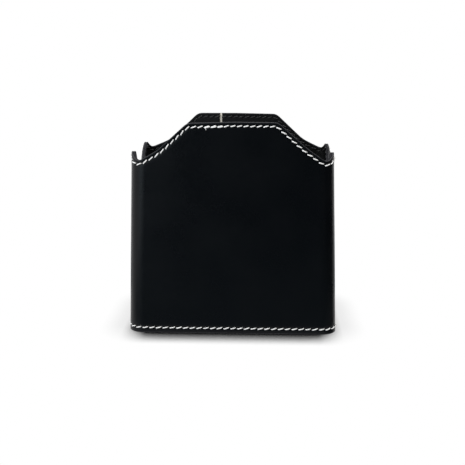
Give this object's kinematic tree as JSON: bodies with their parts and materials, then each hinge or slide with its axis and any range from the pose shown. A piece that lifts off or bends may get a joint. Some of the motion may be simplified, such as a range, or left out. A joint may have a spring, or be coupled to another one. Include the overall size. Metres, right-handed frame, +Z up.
{
  "type": "leather camera case",
  "caption": "Upright open-topped leather camera case with peaked front and back, scooped sides, contrast stitching and a captive screw in its base.",
  "frame": {"origin": "under the middle of the base, on the plane that the case stands on", "axes": "+Z up through the open mouth, the front faces -Y, +X is the case's left as it faces forward"},
  "size_m": [0.1214, 0.0736, 0.121],
  "materials": {
    "black_leather": "smooth, lightly waxed, with burnished edges",
    "black_lining": "matt skiver",
    "cotton_tape": "plain woven",
    "fibre_board": "pressed leather board",
    "black_felt": "pressed wool felt",
    "nickel_plate": "nickel plated",
    "white_thread": "waxed, slightly glossy",
    "black_thread": "waxed bobbin thread"
  },
  "bodies": {
    "case": {"wall_leather": "black_leather", "wall_lining": "black_lining", "seam_tape": "cotton_tape", "base_leather": "black_leather", "base_board": "fibre_board", "floor_pad": "black_felt", "base_eyelet": "nickel_plate", "eyelet_washer": "nickel_plate", "top_stitch_outside": "white_thread", "top_stitch_inside": "black_thread", "foot_stitch_outside": "white_thread", "foot_stitch_inside": "black_thread", "back_seam_stitch_left": "white_thread", "back_seam_stitch_right": "white_thread"},
    "clip": {"retaining_clip": "nickel_plate"},
    "screw": {"tripod_screw": "nickel_plate"}
  },
  "joints": [
    {"name": "screw_float", "type": "slide", "parent": "case", "child": "clip", "axis": [0, 0, 1], "range_m": [0, 0.0012]},
    {"name": "screw_turn", "type": "hinge", "parent": "clip", "child": "screw", "pos_m": [0, 0, 0.0033], "axis": [0, 0, 1], "continuous": true}
  ]
}
